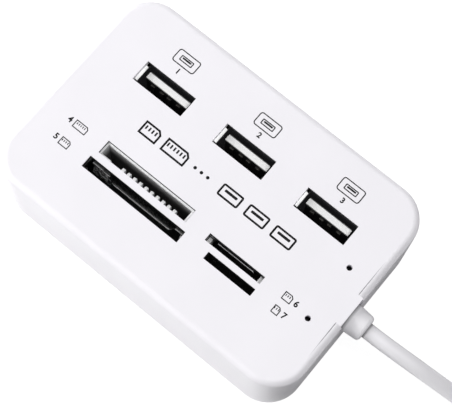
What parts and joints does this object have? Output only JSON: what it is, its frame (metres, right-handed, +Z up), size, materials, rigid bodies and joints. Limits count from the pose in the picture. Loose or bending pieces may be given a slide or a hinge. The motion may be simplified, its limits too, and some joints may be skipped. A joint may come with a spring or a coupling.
{
  "type": "usb hub card reader combo",
  "caption": "Flat white rounded box with upright USB ports and memory card slots in its top, a short cord leaving one end and a USB plug on the cord.",
  "frame": {"origin": "centre of the housing's base", "axes": "+Z up out of the ports, +X along the housing towards the end that the cord leaves, +Y towards the row of ports"},
  "size_m": [0.1776, 0.0724, 0.022],
  "materials": {
    "housing": "satin, very fine moulded grain",
    "cover": "satin",
    "screw": "plated",
    "board": "solder mask",
    "socket_metal": "plated sheet",
    "tongue": "satin",
    "contact": "gilt",
    "card_base": "satin",
    "card_base_pale": "satin",
    "chip": "matt",
    "can": "bright",
    "lamp": "clear, slightly milky",
    "collar": "satin",
    "cord": "satin",
    "wire_red": "satin",
    "wire_white": "satin",
    "wire_green": "satin",
    "wire_black": "satin",
    "grip": "satin",
    "plug_metal": "nickel plated",
    "plug_insulator": "satin"
  },
  "bodies": {
    "root": {"top_shell": "housing", "bottom_cover": "cover", "cover_screw_1": "screw", "cover_screw_2": "screw", "cover_screw_3": "screw", "cover_screw_4": "screw", "main_board": "board", "card_board": "board", "usb_shell_1": "socket_metal", "usb_shell_2": "socket_metal", "usb_shell_3": "socket_metal", "usb_tongue_1": "tongue", "usb_tongue_2": "tongue", "usb_tongue_3": "tongue", "usb_contacts_1": "contact", "usb_contacts_2": "contact", "usb_contacts_3": "contact", "sd_shell": "socket_metal", "sd_base": "card_base", "sd_guide": "socket_metal", "sd_slider": "card_base_pale", "sd_contacts": "contact", "ms_body": "tongue", "ms_contacts": "contact", "m2_shell": "socket_metal", "m2_base": "card_base_pale", "m2_contacts": "contact", "microsd_shell": "socket_metal", "microsd_base": "card_base", "microsd_contacts": "contact", "hub_chip": "chip", "reader_chip": "chip", "crystal": "can", "capacitor_1": "can", "capacitor_2": "can", "led_1": "lamp", "led_2": "lamp", "cord_collar": "collar", "cord_stub": "cord", "wire_1": "wire_red", "wire_2": "wire_white", "wire_3": "wire_green", "wire_4": "wire_black", "cord_tube": "cord", "cord_coil": "cord", "cord_tail": "cord", "plug_grip": "grip", "plug_shell": "plug_metal", "plug_insulator": "plug_insulator", "plug_contacts": "contact"}
  },
  "joints": []
}
